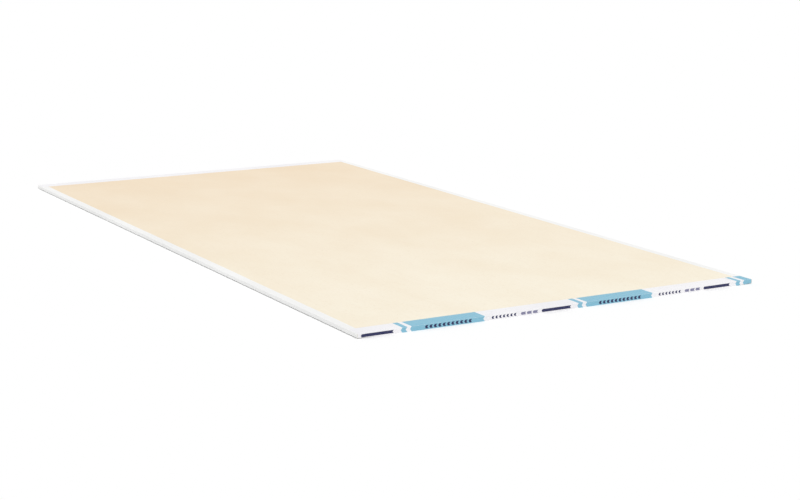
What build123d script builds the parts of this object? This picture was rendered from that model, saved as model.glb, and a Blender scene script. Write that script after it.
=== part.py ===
from build123d import *
from build123d.topology import SkipClean
import os

# A sheet of drywall as it lies in store, back up and room side down, with paper tape over both ends.
# Millimetres. +X runs across the sheet, +Y along it and +Z up. The origin is on the floor, under its middle.

# The board: 4 ft by 8 ft, half an inch thick
sheet_width = 1219.2
sheet_length = 2438.4
sheet_thickness = 12.7

# Its long edges: the room side is thinned there, so that joint tape and filler end up flush with the face
taper_width = 60.0
taper_depth = 1.8

# The face paper is folded round each long edge, which leaves both corners of the edge rounded
face_corner_radius = 1.6
back_corner_radius = 1.2

# The tape: it covers the sawn end from the face up, and folds over onto the back
tape_thickness = 0.15
tape_lap = 50.0
tape_side_margin = 3.0

half_width = sheet_width / 2
half_length = sheet_length / 2
tape_width = sheet_width - 2 * tape_side_margin


def board_section():
    """The board seen from its end: the flat back above, and below it the face with a taper at each side."""
    face_half_width = half_width - taper_width
    with BuildSketch(Plane.XZ) as section:
        with BuildLine():
            Polyline(
                (-face_half_width, 0),
                (face_half_width, 0),
                (half_width, taper_depth),
                (half_width, sheet_thickness),
                (-half_width, sheet_thickness),
                (-half_width, taper_depth),
                close=True,
            )
        make_face()
        fillet(section.vertices().group_by(Axis.Y)[-1], back_corner_radius)
        fillet(section.vertices().group_by(Axis.Y)[1], face_corner_radius)
    return section.sketch


def tape_section():
    """The part of the board's end that the tape covers: all but a margin at each side."""
    with BuildSketch(Plane.XZ) as section:
        add(Plane.XZ.to_local_coords(board_section()))
        Rectangle(tape_width, 2 * sheet_thickness, mode=Mode.INTERSECT)
    return section.sketch


def run(section, start, end):
    """A section across the sheet, carried along it from one place to another."""
    return extrude(Pos(0, start, 0) * section, end - start, dir=(0, 1, 0))


def drywall_sheet():
    """The board, marked where the tapes' laps end, so that its bare back between them is a face of its own."""
    section = board_section()
    lap_line = half_length - tape_lap
    front_end = run(section, -half_length, -lap_line)
    field = run(section, -lap_line, lap_line)
    rear_end = run(section, lap_line, half_length)
    with SkipClean():
        return front_end + field + rear_end


def end_tape():
    """The tape on the rear end: a strip against the sawn end and, over it, the fold on the back."""
    strip = run(tape_section(), half_length, half_length + tape_thickness)
    fold_size = (tape_width, tape_lap + tape_thickness, tape_thickness)
    fold_corner = Pos(0, half_length - tape_lap, sheet_thickness)
    fold = fold_corner * Box(*fold_size, align=(Align.CENTER, Align.MIN, Align.MIN))
    return strip + fold


rear_tape = end_tape()
nodes = {
    "drywall_sheet": drywall_sheet(),
    "end_tape_front": Rot(0, 0, 180) * rear_tape,
    "end_tape_rear": rear_tape,
}

os.makedirs("parts", exist_ok=True)
for name, solid in nodes.items():
    export_step(solid, f"parts/{name}.step")
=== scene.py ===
import functools
import math
from typing import NamedTuple

import bmesh
import bpy
import numpy as np
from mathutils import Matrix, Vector


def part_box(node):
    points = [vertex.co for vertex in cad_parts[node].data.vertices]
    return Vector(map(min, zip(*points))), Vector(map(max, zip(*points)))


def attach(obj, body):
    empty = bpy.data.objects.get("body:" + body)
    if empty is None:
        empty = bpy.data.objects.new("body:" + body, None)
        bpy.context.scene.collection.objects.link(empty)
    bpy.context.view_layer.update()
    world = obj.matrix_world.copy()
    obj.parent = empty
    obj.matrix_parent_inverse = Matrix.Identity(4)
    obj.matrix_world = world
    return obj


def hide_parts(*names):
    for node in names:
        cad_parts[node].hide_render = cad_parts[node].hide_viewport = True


# The drywall sheet as it lies in store, back up, with printed paper tape over both ends.
# Metres throughout, in the frame's own axes: +X across the sheet, +Y along it, +Z up.

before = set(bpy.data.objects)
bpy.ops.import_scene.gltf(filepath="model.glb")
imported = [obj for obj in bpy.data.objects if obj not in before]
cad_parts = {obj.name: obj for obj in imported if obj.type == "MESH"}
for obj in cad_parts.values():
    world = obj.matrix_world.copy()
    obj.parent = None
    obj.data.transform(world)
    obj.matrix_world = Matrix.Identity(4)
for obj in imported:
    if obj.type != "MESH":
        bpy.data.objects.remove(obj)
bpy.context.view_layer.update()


# Kinds of values

class Grid(NamedTuple):
    """Points in rows and columns, the zone that numbers their material, and their places on named maps.

    The zone is one number for the whole grid, or one for each of its quads. The maps have a place for
    each corner of each quad.
    """

    points: np.ndarray
    zone: int | np.ndarray
    maps: dict


class Tint(NamedTuple):
    """A tone that is laid over another one where a pattern is strong.

    Nothing of it shows up to the pattern's low value, and its share from the high value on.
    """

    tone: tuple
    low: float
    high: float
    share: float = 1.0
    kind: str = "SMOOTHSTEP"


class Surface(NamedTuple):
    """How a finish takes light.

    It has a specular level, the low and high value of the pattern that its roughness follows, its roughness
    at both, and the strength and depth of its relief.
    """

    specular: float
    pattern: tuple
    roughness: tuple
    strength: float
    depth: float


class Strokes(NamedTuple):
    """A row of printed strokes: where it starts and ends, and their pitch, length and half height."""

    start: float
    end: float
    pitch: float
    length: float
    half_height: float


# The board, sized by the frame, whose origin is under its middle
HALF_WIDTH, HALF_LENGTH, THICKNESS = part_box("drywall_sheet")[1]
FACE_CORNER = 0.0016
BACK_CORNER = 0.0012
END_CORNER = 0.0004

# The tapers of its face. The knee is eased over a share of the taper's width, and drawn by points that lie
# so many of those shares past it.
TAPER_WIDTH = 0.060
TAPER_DEPTH = 0.0018
TAPER_KNEE = 0.08
KNEE_POINTS = (1, 2, 4)

# Its papers: the face paper is folded over onto the back, and the back paper leaves a border of it bare.
# The back paper's edge is a rounded step, drawn by points that lie so many thicknesses of paper in and up.
PAPER = 0.0003
STEP_IN = (0.15, 0.5, 1.2)
STEP_UP = (0.6, 0.92, 1.0)
FOLD_BORDER = 0.024
BORDER_WANDER = 0.0008
BORDER_WAVE = 0.60

# Its long edges: they wander a little, and have a few shallow dents and slightly crushed ends
EDGE_WANDER = 0.00025
EDGE_WAVE = 0.90
EDGE_REACH = 0.004
EDGE_DENT = 0.0005
DENT_COUNT = 9
DENT_WIDTHS = (0.006, 0.018)
DENT_DEPTHS = (0.25, 1.0)
END_CRUSH = 0.4
CRUSH_REACH = 0.006

# How finely the board is drawn: stations along it, and points on each corner, border, taper and the field
BOARD_STATIONS = 410
CORNER_STEPS = 6
BORDER_STEPS = 5
FIELD_COLUMNS = 24
QUARTER_TURN = np.linspace(0, math.pi / 2, CORNER_STEPS + 1)

# The tape, sized by the frame. The edge of its lap wanders, the lap lifts a little off the board and sinks
# onto the bare border, and the slit edge is ragged.
TAPE_LOW, TAPE_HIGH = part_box("end_tape_rear")
TAPE_HALF_WIDTH = TAPE_HIGH[0]
TAPE_LAP = HALF_LENGTH - TAPE_LOW[1]
TAPE_PAPER = TAPE_HIGH[1] - HALF_LENGTH
LAP_WANDER = 0.0006
LAP_WAVE = 0.35
LAP_LIFT = 0.00025
LIFT_WAVE = 0.16
SINK_REACH = 0.006
SLIT_RAGGED = 0.0003
SLIT_WAVE = 0.05

# How finely the tape is drawn
ROW_STATIONS = 87
LAP_STEPS = 10
DROP_STEPS = 7

# Where the tape lies on its texture: its outside cut into rows, in which the lap is drawn narrow, then its
# inside, and its four rims on top
TEXTURE_MAP = "OFBake"
TEXTURE_ROWS = 6
LAP_IN_ROW = 0.3
TEXTURE_ROOM = 0.03
TEXTURE_SIDE = 0.004
OUTSIDE_ON_TEXTURE = (0.0, 0.86)
INSIDE_ON_TEXTURE = (0.88, 0.93)
RIMS_ON_TEXTURE = (0.94, 0.955, 0.97, 0.985)
RIM_ON_TEXTURE = 0.01

# How pieces are closed: points this near are welded, and bends past this many degrees stay crisp
WELD_DISTANCE = 1e-6
SHARP_ANGLE = 40.0

# What is random: a line's waves, each shorter and lower than the last, with their lengths spread a little.
# The seeds are for the left and right of the board, and for each tape's lap edge, lift and slit edge.
WAVE_COUNT = 6
WAVE_SHORTER = 0.5
WAVE_LOWER = 0.6
WAVE_SPREAD = (0.85, 1.15)
SEED = 11
EDGE_SEEDS = (1, 2)
DENT_SEEDS = (11, 12)
BORDER_SEEDS = (21, 22)
FRONT_TAPE_SEEDS = (40, 41, 42)
REAR_TAPE_SEEDS = (50, 51, 52)

# The tape's print, by places along its pitch: a pale panel and a stripe, and rows of strokes. All end in
# chevrons where the tape covers the end, and the panel and stripe run straight over the front tape's lap.
STRIP_MAP = "strip"
PRINT_PITCH = 0.520
PRINT_PANEL = (0.004, 0.214)
PRINT_STRIPE = (0.226, 0.240)
CHEVRON_SLOPE = 0.7
PRINT_SOFTNESS = 0.0002
NAVY_STROKES = (
    Strokes(0.040, 0.175, 0.0125, 0.0074, 0.0042),
    Strokes(0.262, 0.350, 0.0880, 0.0880, 0.0039),
    Strokes(0.428, 0.502, 0.0110, 0.0058, 0.0036),
)
GREY_STROKES = (Strokes(0.363, 0.415, 0.0180, 0.0140, 0.0036),)
FRONT_PRINT_START = 0.184
REAR_PRINT_START = 0.430
INK_RAGGED = 0.0003
INK_RAGGED_SCALE = 1500.0

# Where the fold has worn the print: how far to each side, in what patches, and how much of it is gone there
FOLD_WEAR = 0.0005
FOLD_WEAR_SOFTNESS = 0.0004
FOLD_WEAR_SCALE = 160.0
WORN_PATCHES = (0.45, 0.65)
WORN_SHARES = (0.1, 0.6)

# What the papers share: how many clouds, streaks, mottles, fibres and flecks there are to a metre, and how
# they are drawn out along the sheet. The flecks are bent, have sizes in shares of their spacing, and a
# share of them is hidden.
CLOUD_SCALE = 4.0
CLOUD_STRETCH = (1.0, 0.7, 1.0)
STREAK_SCALE = (45.0, 2.5, 45.0)
MOTTLE_SCALE = 190.0
MOTTLE_STRETCH = (1.0, 0.6, 1.0)
MOTTLE_RELIEF = 0.6
FELT_SCALE = 900.0
FELT_STRETCH = (1.0, 0.4, 1.0)
FLECK_SCALE = 130.0
FLECK_SIZES = (0.03, 0.13)
FLECK_BEND = 0.003
FLECK_BEND_SCALE = 500.0
FLECK_HIDDEN = 0.55

# The sawn gypsum: its pores, and the marks of the saw
PORE_SCALE = 900.0
SAW_SCALE = (700.0, 1.0, 40.0)
SAW_RELIEF = 0.6

# Colours as they look on a screen, 0 to 255. The cream carries a painted falloff of light: paler at the lit
# front end, darker and yellower at the rear. The paper's clouds move that change to and fro, by this shift
# in metres from the palest cloud to the darkest.
PAINTED_LIT_CREAM = (249, 241, 223)
PAINTED_SHADED_CREAM = (243, 225, 200)
PAINTED_FALLOFF_SHIFT = 1.2
CREAM_CLOUD = Tint((253, 252, 250), 0.3, 0.7)
CREAM_STREAK = Tint((241, 228, 206), 0.5, 0.8, 0.25)
CREAM_MOTTLE = Tint((236, 222, 198), 0.5, 0.75, 0.3)
CREAM_FLECK = Tint((196, 176, 146), 0.0, 1.0, 0.6, "LINEAR")
FACE_WHITE = (247, 247, 246)
FACE_CLOUD = Tint((242, 242, 241), 0.3, 0.7)
FACE_FLECK = Tint((220, 217, 211), 0.0, 1.0, 0.3, "LINEAR")
GYPSUM_PORE = (220, 217, 210)
GYPSUM_WHITE = Tint((239, 237, 232), 0.35, 0.65)
TAPE_WHITE = (246, 245, 247)
TAPE_CLOUD = Tint((239, 238, 241), 0.35, 0.7)
TAPE_MOTTLE = Tint((214, 214, 220), 0.5, 0.8, 0.12)
INK_BLUE = (134, 189, 211)
INK_GREY = (130, 129, 158)
INK_NAVY = (35, 39, 84)

# How the finishes take light
BACK_PAPER = Surface(0.2, (0.3, 0.7), (0.82, 0.95), 0.35, 0.0003)
FACE_PAPER = Surface(0.25, (0.3, 0.7), (0.70, 0.84), 0.15, 0.0002)
GYPSUM = Surface(0.15, (0.3, 0.7), (0.9, 1.0), 0.6, 0.0005)
PRINTED_TAPE = Surface(0.35, (0.0, 1.0), (0.62, 0.48), 0.10, 0.0002)

# The camera: the photo's heading and tilt, in degrees, and about its distance, and its lens in millimetres
CAMERA_HEADING = 29.3
CAMERA_TILT = 11.75
CAMERA_DISTANCE = 5.4
CAMERA_AIM = Vector((0.075, -0.21, -0.035))
CAMERA_LENS = 79.0
CAMERA_SENSOR = 36.0

# Light: an even sky, and a broad soft sun that leans to the camera's side
SKY_LEVEL = 0.62
SUN_STRENGTH = 1.36
SUN_SPREAD = 50.0
SUN_FROM = Vector((-0.3, -0.7, 1.6))
FLOOR_SIZE = 80.0
FLOOR_WHITE = 0.99


# Surfaces

def wander(along, seed, wavelength):
    """A smooth random wave along a line, within about -1 and 1.

    It is a sum of sines with seeded phases, each shorter and lower than the last by fixed shares.
    """
    draw = np.random.default_rng(SEED + seed)
    order = np.arange(WAVE_COUNT)
    lengths = wavelength * WAVE_SHORTER ** order * draw.uniform(*WAVE_SPREAD, WAVE_COUNT)
    heights = WAVE_LOWER ** order
    phases = draw.uniform(0, 2 * np.pi, WAVE_COUNT)
    waves = np.sin(2 * np.pi * along[:, None] / lengths + phases)
    return (waves * heights).sum(-1) / heights.sum()


def dents(along, seed):
    """Small knocks along an edge: Gaussian dips of seeded place, width and depth, from 0 to about 1."""
    draw = np.random.default_rng(SEED + seed)
    places = draw.uniform(along.min(), along.max(), DENT_COUNT)
    widths = draw.uniform(*DENT_WIDTHS, DENT_COUNT)
    depths = draw.uniform(*DENT_DEPTHS, DENT_COUNT)
    return (depths * np.exp(-((along[:, None] - places) / widths) ** 2)).sum(-1)


def grid_quads(rows, columns):
    """The quads of a grid of points that is stored row by row."""
    point = np.arange(rows * columns).reshape(rows, columns)
    corners = (point[:-1, :-1], point[:-1, 1:], point[1:, 1:], point[1:, :-1])
    return np.stack(corners, -1).reshape(-1, 4)


def on_corners(values):
    """Values at the points of a grid, given out to the four corners of each of its quads."""
    rows, columns = values.shape[:2]
    return values.reshape(rows * columns, -1)[grid_quads(rows, columns)]


def make_piece(name, grids, materials):
    """One closed mesh out of several grids that meet at their rims.

    The rims are welded, the normals are turned outwards, and sharp bends stay crisp.
    """
    points = [grid.points.reshape(-1, 3) for grid in grids]
    quads = [grid_quads(*grid.points.shape[:2]) for grid in grids]
    starts = np.cumsum([0] + [len(p) for p in points[:-1]])
    mesh = bpy.data.meshes.new(name)
    mesh.from_pydata(np.concatenate(points), [], np.concatenate([q + s for q, s in zip(quads, starts)]))
    zones = np.concatenate([np.broadcast_to(grid.zone, len(q)) for grid, q in zip(grids, quads)])
    mesh.polygons.foreach_set("material_index", zones.astype(np.int32))
    for map_name in grids[0].maps:
        places = np.concatenate([grid.maps[map_name].ravel() for grid in grids])
        mesh.uv_layers.new(name=map_name).uv.foreach_set("vector", places)
    body = bmesh.new()
    body.from_mesh(mesh)
    bmesh.ops.remove_doubles(body, verts=body.verts, dist=WELD_DISTANCE)
    bmesh.ops.recalc_face_normals(body, faces=body.faces)
    body.to_mesh(mesh)
    body.free()
    mesh.shade_smooth()
    mesh.set_sharp_from_angle(angle=math.radians(SHARP_ANGLE))
    for material in materials:
        mesh.materials.append(material)
    piece = bpy.data.objects.new(name, mesh)
    bpy.context.scene.collection.objects.link(piece)
    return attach(piece, "root")


def taper_height(inset):
    """How high the face lies off the floor at some distance in from the long edge.

    It is a straight ramp with an eased knee: a hyperbola that runs out to zero a little past the taper.
    """
    reach = KNEE_POINTS[-1] * TAPER_KNEE
    across = 1 - np.clip(inset / TAPER_WIDTH, 0, 1 + reach)
    ramp = across + np.hypot(across, TAPER_KNEE)
    lowest = np.hypot(reach, TAPER_KNEE) - reach
    highest = 1 + math.hypot(1, TAPER_KNEE)
    return TAPER_DEPTH * (ramp - lowest) / (highest - lowest)


def half_sections():
    """Half of the board's section, over the back and under the face.

    Each is given by distances in from the long edge and by heights. Both run inwards from the middle of the
    edge and have as many points. Over the back: up the edge, round its corner by a quarter circle, along
    the bare border and up the step onto the back paper. Under the face: down the edge, round its corner and
    along the taper to its knee.
    """
    border_height = THICKNESS - PAPER
    border = np.linspace(BACK_CORNER, FOLD_BORDER, BORDER_STEPS + 1)[1:]
    step_in = FOLD_BORDER + PAPER * np.array(STEP_IN)
    step_up = border_height + PAPER * np.array(STEP_UP)
    back_in = np.concatenate(([0], BACK_CORNER * (1 - np.cos(QUARTER_TURN)), border, step_in))
    back_corner = border_height - BACK_CORNER * (1 - np.sin(QUARTER_TURN))
    back_up = np.concatenate(([THICKNESS / 2], back_corner, np.full(BORDER_STEPS, border_height), step_up))
    ramp = np.linspace(FACE_CORNER, TAPER_WIDTH, BORDER_STEPS + 1)[1:]
    knee = TAPER_WIDTH * (1 + TAPER_KNEE * np.array(KNEE_POINTS))
    face_in = np.concatenate(([0], FACE_CORNER * (1 - np.cos(QUARTER_TURN)), ramp, knee))
    face_corner = taper_height(FACE_CORNER) + FACE_CORNER * (1 - np.sin(QUARTER_TURN))
    face_up = np.concatenate(([THICKNESS / 2], face_corner, taper_height(ramp), taper_height(knee)))
    return back_in, back_up, face_in, face_up


def edge_pushes(along, back_in, face_in):
    """How far points are pushed inwards at the left and the right edge, over the back and under the face.

    The wander, the dents and the crushed ends of an edge fade inwards by an exponential. The edge of the
    back paper has a wander of its own, which fades to both sides by a Gaussian.
    """
    crush = END_CRUSH * np.exp(-((HALF_LENGTH - np.abs(along)) / CRUSH_REACH) ** 2)
    on_paper_edge = np.exp(-((back_in - FOLD_BORDER) / EDGE_REACH) ** 2)
    back_push = []
    face_push = []
    for edge_seed, dent_seed, border_seed in zip(EDGE_SEEDS, DENT_SEEDS, BORDER_SEEDS):
        edge = EDGE_WANDER * (0.5 + 0.5 * wander(along, edge_seed, EDGE_WAVE))
        edge += EDGE_DENT * (dents(along, dent_seed) + crush)
        paper_edge = np.outer(BORDER_WANDER * wander(along, border_seed, BORDER_WAVE), on_paper_edge)
        back_push.append(np.outer(edge, np.exp(-back_in / EDGE_REACH)) + paper_edge)
        face_push.append(np.outer(edge, np.exp(-face_in / EDGE_REACH)))
    return back_push, face_push


def board_surface(inset, height, along, left_push, right_push):
    """A half section carried along the sheet and mirrored, as rows x columns x 3.

    Each row's points are pushed inwards at the left and the right edge, and spread evenly over the field.
    """
    left = -HALF_WIDTH + inset + left_push
    right = HALF_WIDTH - inset - right_push
    share = np.linspace(0, 1, FIELD_COLUMNS + 2)[1:-1]
    field = left[:, -1:] + (right[:, -1:] - left[:, -1:]) * share
    across = np.hstack((left, field, right[:, ::-1]))
    profile = np.concatenate((height, np.full(FIELD_COLUMNS, height[-1]), height[::-1]))
    return np.stack(np.broadcast_arrays(across, along[:, None], profile), -1)


def make_board(back_paper, face_paper, core):
    """The board: its section carried along the sheet, with the slight wander of real paper edges.

    Both sawn ends are closed by a surface ruled between the back and the face, and the back rounds over
    onto them by a quarter circle, where the tape is folded.
    """
    rear_corner = HALF_LENGTH - END_CORNER * (1 - np.sin(QUARTER_TURN))
    field = np.linspace(-rear_corner[0], rear_corner[0], BOARD_STATIONS)[1:-1]
    along = np.concatenate((-rear_corner[::-1], field, rear_corner))
    from_end = HALF_LENGTH - np.abs(along)
    into_corner = np.clip(END_CORNER - from_end, 0, END_CORNER)
    corner_drop = END_CORNER - np.sqrt(END_CORNER ** 2 - into_corner ** 2)

    back_in, back_up, face_in, face_up = half_sections()
    back_push, face_push = edge_pushes(along, back_in, face_in)
    back = board_surface(back_in, back_up, along, *back_push)
    paper_top = np.where(back[0, :, 2] > THICKNESS - PAPER, THICKNESS, THICKNESS - PAPER)
    back[..., 2] = np.minimum(back[..., 2], paper_top - corner_drop[:, None])
    face = board_surface(face_in, face_up, along, *face_push)

    face_paper_columns = np.ones(1 + CORNER_STEPS + BORDER_STEPS)
    back_paper_columns = np.zeros(back.shape[1] - 1 - 2 * len(face_paper_columns))
    back_zones = np.concatenate((face_paper_columns, back_paper_columns, face_paper_columns))
    edge_middle = (back_up[1] - back_up[0]) / (back_up[1] - face_up[1])
    depth = np.array((0, edge_middle, 1))[:, None, None]
    ends = [back[row, 1:-1] + (face[row, 1:-1] - back[row, 1:-1]) * depth for row in (0, -1)]
    grids = [Grid(back, np.tile(back_zones, len(along) - 1), {}), Grid(face, 1, {})]
    grids += [Grid(end, 2, {}) for end in ends]
    return make_piece("paper_bound_board", grids, (back_paper, face_paper, core))


def tape_side(along, lap_edge, lift, slit_edge, outward):
    """One side of the tape's paper, some metres outward of the board, as rows x columns x 3.

    Across the tape the path runs from the lap's edge to the fold, round that by a quarter circle, and down
    the end to the slit edge. The lap bulges off the board by half a sine as high as its lift, and at both
    sides it sinks off the back paper onto the bare border, by a cubic step as deep as the paper.
    """
    lap_share = np.linspace(0, 1, LAP_STEPS + 1)[:-1]
    drop_share = np.linspace(0, 1, DROP_STEPS + 1)[1:]
    over_border = np.clip((FOLD_BORDER - HALF_WIDTH + np.abs(along)) / SINK_REACH, 0, 1)
    back_height = THICKNESS - PAPER * over_border ** 2 * (3 - 2 * over_border)
    fold_y = HALF_LENGTH - END_CORNER + (END_CORNER + outward) * np.sin(QUARTER_TURN)
    fold_z = back_height[:, None] - END_CORNER + (END_CORNER + outward) * np.cos(QUARTER_TURN)
    lap_y = lap_edge[:, None] + (fold_y[0] - lap_edge[:, None]) * lap_share
    lap_z = fold_z[:, :1] + np.outer(lift, np.sin(np.pi * lap_share))
    drop_z = fold_z[:, -1:] + (slit_edge[:, None] - fold_z[:, -1:]) * drop_share
    y = np.hstack((lap_y, np.tile(fold_y, (len(along), 1)), np.full(drop_z.shape, fold_y[-1])))
    z = np.hstack((lap_z, fold_z, drop_z))
    return np.stack(np.broadcast_arrays(along[:, None], y, z), -1)


def tape_places(along, outside, print_start):
    """Where each point of the tape is on the strip and in the texture's rows.

    The strip is the tape unfolded: metres along it, from where its print starts, and across it, with the
    middle of the fold at the width of the lap. In the rows it is how far along and across, from 0 to 1.
    """
    steps = np.linalg.norm(np.diff(outside, axis=1), axis=-1)
    path = np.hstack((np.zeros((len(along), 1)), np.cumsum(steps, 1)))
    fold_middle = LAP_STEPS + CORNER_STEPS // 2
    across = TAPE_LAP + path - path[:, fold_middle, None]
    strip = np.stack(np.broadcast_arrays(along[:, None] + TAPE_HALF_WIDTH + print_start, across), -1)
    lap_path = path[:, LAP_STEPS, None]
    lap_share = LAP_IN_ROW * np.minimum(path / lap_path, 1)
    end_share = (1 - LAP_IN_ROW) * np.maximum(path - lap_path, 0) / (path[:, -1:] - lap_path)
    along_share = np.linspace(0, 1, len(along))[:, None]
    share = np.stack(np.broadcast_arrays(along_share, lap_share + end_share), -1)
    return strip, share


def cut_in_rows(share, rows, low, high):
    """Where a strip lies on its texture: cut into rows, one above the other, between two heights.

    share is how far along and across the strip each point of a grid is, from 0 to 1. A little room is left
    round each row.
    """
    along, across = np.moveaxis(on_corners(share), -1, 0)
    row = np.floor(rows * along.mean(1, keepdims=True))
    in_row = np.stack((rows * along - row, row + TEXTURE_ROOM + (1 - 2 * TEXTURE_ROOM) * across), -1)
    return (TEXTURE_SIDE, low) + in_row * (1 - 2 * TEXTURE_SIDE, (high - low) / rows)


def make_tape(name, node, printed, print_start, seeds, turned):
    """A tape over one end: its outside and inside, and the rims of paper between them.

    The lap's edge wanders, and the slit edge is slightly ragged and follows the taper at both sides. The
    front tape is made as the rear one is, and turned half round about the sheet's middle.
    """
    edge_seed, lift_seed, slit_seed = seeds
    along = np.linspace(-TAPE_HALF_WIDTH, TAPE_HALF_WIDTH, TEXTURE_ROWS * ROW_STATIONS + 1)
    lap_edge = HALF_LENGTH - TAPE_LAP + LAP_WANDER * wander(along, edge_seed, LAP_WAVE)
    lift = LAP_LIFT * np.clip(wander(along, lift_seed, LIFT_WAVE), 0, 1)
    ragged = SLIT_RAGGED * (0.5 + 0.5 * wander(along, slit_seed, SLIT_WAVE))
    slit_edge = ragged + taper_height(HALF_WIDTH - np.abs(along))
    outside = tape_side(along, lap_edge, lift, slit_edge, TAPE_PAPER)
    inside = tape_side(along, lap_edge, lift, slit_edge, 0.0)
    strip, share = tape_places(along, outside, print_start)
    turn_round = (-1, -1, 1) if turned else (1, 1, 1)

    def paper_grid(points, places, shares, rows, low, high):
        """A part of the tape's surface, turned to its end, with its places on the strip and the texture."""
        maps = {STRIP_MAP: on_corners(places), TEXTURE_MAP: cut_in_rows(shares, rows, low, high)}
        return Grid(points * turn_round, 0, maps)

    grids = [paper_grid(outside, strip, share, TEXTURE_ROWS, *OUTSIDE_ON_TEXTURE)]
    grids.append(paper_grid(inside, strip, share, 1, *INSIDE_ON_TEXTURE))
    for rim, low in zip((np.s_[:, 0], np.s_[:, -1], np.s_[0], np.s_[-1]), RIMS_ON_TEXTURE):
        points = np.stack((outside[rim], inside[rim]))
        places = np.stack((strip[rim], strip[rim]))
        shares = np.stack(np.meshgrid(np.linspace(0, 1, points.shape[1]), (0, 1)), -1)
        grids.append(paper_grid(points, places, shares, 1, low, low + RIM_ON_TEXTURE))
    tape = make_piece(name, grids, (printed,))
    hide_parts(node)
    return tape


# Shader nodes

def colour(on_screen):
    """A colour as it looks on a screen, 0 to 255, in the linear light of shaders, by the sRGB formula."""
    screen = np.array(on_screen) / 255
    linear = np.where(screen <= 0.04045, screen / 12.92, ((screen + 0.055) / 1.055) ** 2.4)
    return (*linear.tolist(), 1.0)


class FinishNodes:
    """Short ways to add the nodes that finishes use. Inputs are numbers, colours or nodes' outputs."""

    def __init__(self, tree):
        self.tree = tree

    def add(self, kind, inputs=None, **settings):
        node = self.tree.nodes.new(kind)
        for name, value in settings.items():
            setattr(node, name, value)
        for socket, value in (inputs or {}).items():
            self.feed(node.inputs[socket], value)
        return node

    def feed(self, socket, value):
        """Link a socket to another node's output, or set it to a value. None leaves it as it is."""
        if isinstance(value, bpy.types.NodeSocket):
            self.tree.links.new(value, socket)
        elif value is not None:
            socket.default_value = value

    def math(self, operation, a, b=None, c=None):
        return self.add("ShaderNodeMath", {0: a, 1: b, 2: c}, operation=operation).outputs[0]

    def span(self, value, low, high, to_low=0.0, to_high=1.0, kind="SMOOTHSTEP"):
        """A value carried from one range to another, and held at its ends."""
        places = {"Value": value, "From Min": low, "From Max": high, "To Min": to_low, "To Max": to_high}
        return self.add("ShaderNodeMapRange", places, interpolation_type=kind).outputs["Result"]

    def band(self, value, low, high, soft):
        """1 between low and high and 0 outside, with soft rims."""
        rise = self.span(value, low - soft, low + soft)
        fall = self.span(value, high - soft, high + soft, 1.0, 0.0)
        return self.math("MULTIPLY", rise, fall)

    def blend(self, share, first, second, how="MIX"):
        """Two colours in one. The node's colours go by number, because other sockets share their names."""
        places = {0: share, 6: first, 7: second}
        return self.add("ShaderNodeMix", places, data_type="RGBA", blend_type=how).outputs[2]

    def tint(self, tone, pattern, tint, how="MIX"):
        """A tone with a tint laid over it, as strong as the pattern is."""
        share = self.span(pattern, tint.low, tint.high, 0.0, tint.share, tint.kind)
        return self.blend(share, tone, colour(tint.tone), how)

    def stretch(self, vector, scale):
        return self.add("ShaderNodeMapping", {"Vector": vector, "Scale": scale}).outputs[0]

    def noise(self, vector, scale, detail=4.0, roughness=0.55):
        places = {"Vector": vector, "Scale": scale, "Detail": detail, "Roughness": roughness}
        return self.add("ShaderNodeTexNoise", places).outputs["Fac"]

    def vector_math(self, operation, inputs):
        return self.add("ShaderNodeVectorMath", inputs, operation=operation).outputs[0]

    def bend(self, vector, scale, reach):
        """A place shifted a little at random, up to reach each way."""
        random = self.add("ShaderNodeTexNoise", {"Vector": vector, "Scale": scale}).outputs["Color"]
        centred = self.vector_math("SUBTRACT", {0: random, 1: (0.5, 0.5, 0.5)})
        shift = self.vector_math("SCALE", {0: centred, "Scale": 2 * reach})
        return self.vector_math("ADD", {0: vector, 1: shift})


# Finishes

def paper_group():
    """What every paper here shares, as a group of nodes.

    It puts out slow clouds of tone, streaks the way the paper ran through the machine, the mottle of its
    pulp, flecks of darker fibre and a felt-like height.
    """
    group = bpy.data.node_groups.new("paper fibre", "ShaderNodeTree")
    group.interface.new_socket("Vector", in_out="INPUT", socket_type="NodeSocketVector")
    nodes = FinishNodes(group)
    vector = nodes.add("NodeGroupInput").outputs["Vector"]
    mottle = nodes.noise(nodes.stretch(vector, MOTTLE_STRETCH), MOTTLE_SCALE, detail=3.0)
    felt = nodes.noise(nodes.stretch(vector, FELT_STRETCH), FELT_SCALE, detail=3.0)
    bent = nodes.bend(vector, FLECK_BEND_SCALE, FLECK_BEND)
    specks = nodes.add("ShaderNodeTexVoronoi", {"Vector": bent, "Scale": FLECK_SCALE})
    kind = nodes.add("ShaderNodeSeparateColor", {0: specks.outputs["Color"]})
    reach = nodes.span(kind.outputs["Green"], 0.0, 1.0, *FLECK_SIZES, "LINEAR")
    inside = nodes.math("LESS_THAN", specks.outputs["Distance"], reach)
    patterns = {
        "Clouds": nodes.noise(nodes.stretch(vector, CLOUD_STRETCH), CLOUD_SCALE, detail=6.0),
        "Streaks": nodes.noise(nodes.stretch(vector, STREAK_SCALE), 1.0, detail=5.0, roughness=0.6),
        "Mottle": mottle,
        "Flecks": nodes.math("MULTIPLY", inside, nodes.span(kind.outputs["Red"], FLECK_HIDDEN, 1.0)),
        "Height": nodes.math("MULTIPLY_ADD", mottle, MOTTLE_RELIEF, felt),
    }
    for name in patterns:
        group.interface.new_socket(name, in_out="OUTPUT", socket_type="NodeSocketFloat")
    nodes.add("NodeGroupOutput", patterns)
    return group


def new_finish(name, specular):
    """A new material with its Principled BSDF, as (material, nodes, shader)."""
    material = bpy.data.materials.new(name)
    material.use_nodes = True
    shader = material.node_tree.nodes["Principled BSDF"]
    shader.inputs["Specular IOR Level"].default_value = specular
    return material, FinishNodes(material.node_tree), shader


def place_on_piece(nodes):
    """The place on the piece, in metres in the frame's axes."""
    return nodes.add("ShaderNodeTexCoord").outputs["Object"]


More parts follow.
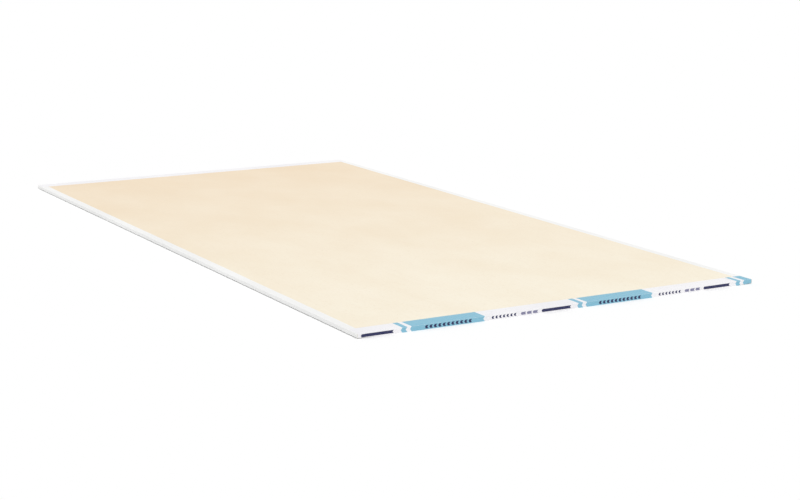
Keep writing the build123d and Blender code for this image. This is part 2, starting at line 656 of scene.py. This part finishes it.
def paper_at(nodes, fibre, place):
    """What the paper fibre group puts out at a place."""
    paper = nodes.add("ShaderNodeGroup", node_tree=fibre)
    nodes.feed(paper.inputs["Vector"], place)
    return paper.outputs


def finish(nodes, shader, surface, tone, pattern, height):
    """A finish put into its shader: its colour, its roughness, which follows a pattern, and its relief."""
    nodes.feed(shader.inputs["Base Color"], tone)
    nodes.feed(shader.inputs["Roughness"], nodes.span(pattern, *surface.pattern, *surface.roughness))
    relief = {"Height": height, "Strength": surface.strength, "Distance": surface.depth}
    nodes.feed(shader.inputs["Normal"], nodes.add("ShaderNodeBump", relief).outputs[0])


def back_paper_finish(fibre):
    """Cream back paper with a painted falloff of light, paler towards the front end and darker towards the
    rear. It has faint clouds, streaks, mottles and flecks.
    """
    material, nodes, shader = new_finish("back paper", BACK_PAPER.specular)
    place = place_on_piece(nodes)
    paper = paper_at(nodes, fibre, place)
    along = nodes.add("ShaderNodeSeparateXYZ", {0: place}).outputs["Y"]
    # Painted falloff of light: the cream runs from its painted lit tone at the front end to its painted
    # shaded tone at the rear, moved to and fro by the paper's random clouds.
    painted_falloff = nodes.math("MULTIPLY_ADD", nodes.math("SUBTRACT", paper["Clouds"], 0.5), PAINTED_FALLOFF_SHIFT, along)
    painted_falloff = nodes.span(painted_falloff, -HALF_LENGTH, HALF_LENGTH, kind="LINEAR")
    tone = nodes.blend(painted_falloff, colour(PAINTED_LIT_CREAM), colour(PAINTED_SHADED_CREAM))
    tone = nodes.tint(tone, paper["Clouds"], CREAM_CLOUD, "MULTIPLY")
    tone = nodes.tint(tone, paper["Streaks"], CREAM_STREAK)
    tone = nodes.tint(tone, paper["Mottle"], CREAM_MOTTLE)
    tone = nodes.tint(tone, paper["Flecks"], CREAM_FLECK)
    finish(nodes, shader, BACK_PAPER, tone, paper["Mottle"], paper["Height"])
    return material


def face_paper_finish(fibre):
    """White face paper: smooth, faintly warm, with few and pale flecks."""
    material, nodes, shader = new_finish("face paper", FACE_PAPER.specular)
    paper = paper_at(nodes, fibre, place_on_piece(nodes))
    tone = nodes.tint(colour(FACE_WHITE), paper["Clouds"], FACE_CLOUD)
    tone = nodes.tint(tone, paper["Flecks"], FACE_FLECK)
    finish(nodes, shader, FACE_PAPER, tone, paper["Mottle"], paper["Height"])
    return material


def core_finish():
    """Sawn gypsum: chalky white, with fine pores and the marks of the saw."""
    material, nodes, shader = new_finish("sawn gypsum", GYPSUM.specular)
    place = place_on_piece(nodes)
    pores = nodes.noise(place, PORE_SCALE, roughness=0.7)
    saw_marks = nodes.noise(nodes.stretch(place, SAW_SCALE), 1.0, detail=3.0)
    tone = nodes.tint(colour(GYPSUM_PORE), pores, GYPSUM_WHITE)
    finish(nodes, shader, GYPSUM, tone, pores, nodes.math("MULTIPLY_ADD", saw_marks, SAW_RELIEF, pores))
    return material


def print_ink(nodes, in_pitch, off_middle, rows):
    """1 where a row of strokes has ink: between its ends, on its strokes and within its height."""
    inks = []
    for row in rows:
        in_row = nodes.band(in_pitch, row.start, row.end, PRINT_SOFTNESS)
        in_stroke = nodes.math("FLOORED_MODULO", nodes.math("SUBTRACT", in_pitch, row.start), row.pitch)
        stroke = nodes.band(in_stroke, PRINT_SOFTNESS, row.length - PRINT_SOFTNESS, PRINT_SOFTNESS)
        tall = nodes.band(off_middle, -row.half_height, row.half_height, PRINT_SOFTNESS)
        inks.append(nodes.math("MULTIPLY", nodes.math("MULTIPLY", in_row, stroke), tall))
    return functools.reduce(lambda ink, more: nodes.math("MAXIMUM", ink, more), inks)


def tape_finish(fibre, name, lap_printed):
    """White paper tape with pale blue panels, navy bars and ticks and grey blocks, worn at its fold."""
    material, nodes, shader = new_finish(name, PRINTED_TAPE.specular)
    strip = nodes.add("ShaderNodeUVMap", uv_map=STRIP_MAP).outputs[0]
    split = nodes.add("ShaderNodeSeparateXYZ", {0: strip})
    place = place_on_piece(nodes)
    paper = paper_at(nodes, fibre, place)
    ragged = nodes.math("SUBTRACT", nodes.noise(place, INK_RAGGED_SCALE, detail=2.0), 0.5)
    along = nodes.math("MULTIPLY_ADD", ragged, 2 * INK_RAGGED, split.outputs["X"])
    across = split.outputs["Y"]
    off_middle = nodes.math("SUBTRACT", across, TAPE_LAP + THICKNESS / 2)
    arm = nodes.math("MINIMUM", nodes.math("ABSOLUTE", off_middle), THICKNESS / 2)
    chevron = nodes.math("MULTIPLY_ADD", arm, CHEVRON_SLOPE, along)
    in_pitch = nodes.math("FLOORED_MODULO", chevron, PRINT_PITCH)
    panel = nodes.band(in_pitch, *PRINT_PANEL, PRINT_SOFTNESS)
    blue = nodes.math("MAXIMUM", panel, nodes.band(in_pitch, *PRINT_STRIPE, PRINT_SOFTNESS))
    if not lap_printed:
        blue = nodes.math("MULTIPLY", blue, nodes.math("GREATER_THAN", across, TAPE_LAP))
    navy = print_ink(nodes, in_pitch, off_middle, NAVY_STROKES)
    grey = print_ink(nodes, in_pitch, off_middle, GREY_STROKES)
    fold = nodes.band(across, TAPE_LAP - FOLD_WEAR, TAPE_LAP + FOLD_WEAR, FOLD_WEAR_SOFTNESS)
    worn = nodes.span(nodes.noise(place, FOLD_WEAR_SCALE), *WORN_PATCHES, *WORN_SHARES)

    white = nodes.tint(colour(TAPE_WHITE), paper["Clouds"], TAPE_CLOUD)
    tone = nodes.blend(blue, white, colour(INK_BLUE))
    tone = nodes.blend(grey, tone, colour(INK_GREY))
    tone = nodes.blend(navy, tone, colour(INK_NAVY))
    tone = nodes.blend(nodes.math("MULTIPLY", fold, worn), tone, white)
    tone = nodes.tint(tone, paper["Mottle"], TAPE_MOTTLE)
    finish(nodes, shader, PRINTED_TAPE, tone, navy, paper["Height"])
    return material


# The stage

def make_floor():
    """A pale floor that keeps the sheet's shadow."""
    reach = FLOOR_SIZE / 2 * np.array((-1.0, 1.0))
    x, y = np.meshgrid(reach, reach)
    points = np.stack((x, y, np.zeros_like(x)), -1).reshape(-1, 3)
    mesh = bpy.data.meshes.new("floor")
    mesh.from_pydata(points, [], grid_quads(2, 2))
    floor = bpy.data.objects.new("floor", mesh)
    bpy.context.scene.collection.objects.link(floor)
    material, _, shader = new_finish("floor", specular=0.0)
    shader.inputs["Base Color"].default_value = (FLOOR_WHITE, FLOOR_WHITE, FLOOR_WHITE, 1.0)
    shader.inputs["Roughness"].default_value = 1.0
    mesh.materials.append(material)


def make_light():
    """An even sky that the camera sees as white, and one soft sun."""
    world = bpy.data.worlds.new("studio")
    world.use_nodes = True
    bpy.context.scene.world = world
    nodes = FinishNodes(world.node_tree)
    background = world.node_tree.nodes["Background"]
    background.inputs["Color"].default_value = (1.0, 1.0, 1.0, 1.0)
    path = nodes.add("ShaderNodeLightPath")
    seen = nodes.math("MAXIMUM", path.outputs["Is Camera Ray"], path.outputs["Is Glossy Ray"])
    seen = nodes.math("MAXIMUM", seen, path.outputs["Is Transmission Ray"])
    nodes.feed(background.inputs["Strength"], nodes.span(seen, 0.0, 1.0, SKY_LEVEL, 1.0, "LINEAR"))
    lamp = bpy.data.lights.new("sun", "SUN")
    lamp.energy = SUN_STRENGTH
    lamp.angle = math.radians(SUN_SPREAD)
    sun = bpy.data.objects.new("sun", lamp)
    sun.rotation_euler = (-SUN_FROM).to_track_quat("-Z", "Y").to_euler()
    bpy.context.scene.collection.objects.link(sun)


def make_camera():
    """A camera on the photo's heading and tilt, aimed near the sheet's middle."""
    heading = math.radians(CAMERA_HEADING)
    tilt = math.radians(CAMERA_TILT)
    level = math.cos(tilt)
    ahead = Vector((math.sin(heading) * level, math.cos(heading) * level, -math.sin(tilt)))
    lens = bpy.data.cameras.new("camera")
    lens.sensor_width = CAMERA_SENSOR
    lens.lens = CAMERA_LENS
    camera = bpy.data.objects.new("camera", lens)
    camera.location = CAMERA_AIM - CAMERA_DISTANCE * ahead
    camera.rotation_euler = ahead.to_track_quat("-Z", "Y").to_euler()
    bpy.context.scene.collection.objects.link(camera)
    bpy.context.scene.camera = camera


# The sheet

fibre = paper_group()
board = make_board(back_paper_finish(fibre), face_paper_finish(fibre), core_finish())
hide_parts("drywall_sheet")
front_print = tape_finish(fibre, "front tape", lap_printed=True)
rear_print = tape_finish(fibre, "rear tape", lap_printed=False)
make_tape("front_end_tape", "end_tape_front", front_print, FRONT_PRINT_START, FRONT_TAPE_SEEDS, turned=True)
make_tape("rear_end_tape", "end_tape_rear", rear_print, REAR_PRINT_START, REAR_TAPE_SEEDS, turned=False)

make_floor()
make_light()
make_camera()
bpy.context.scene.view_settings.view_transform = "Standard"
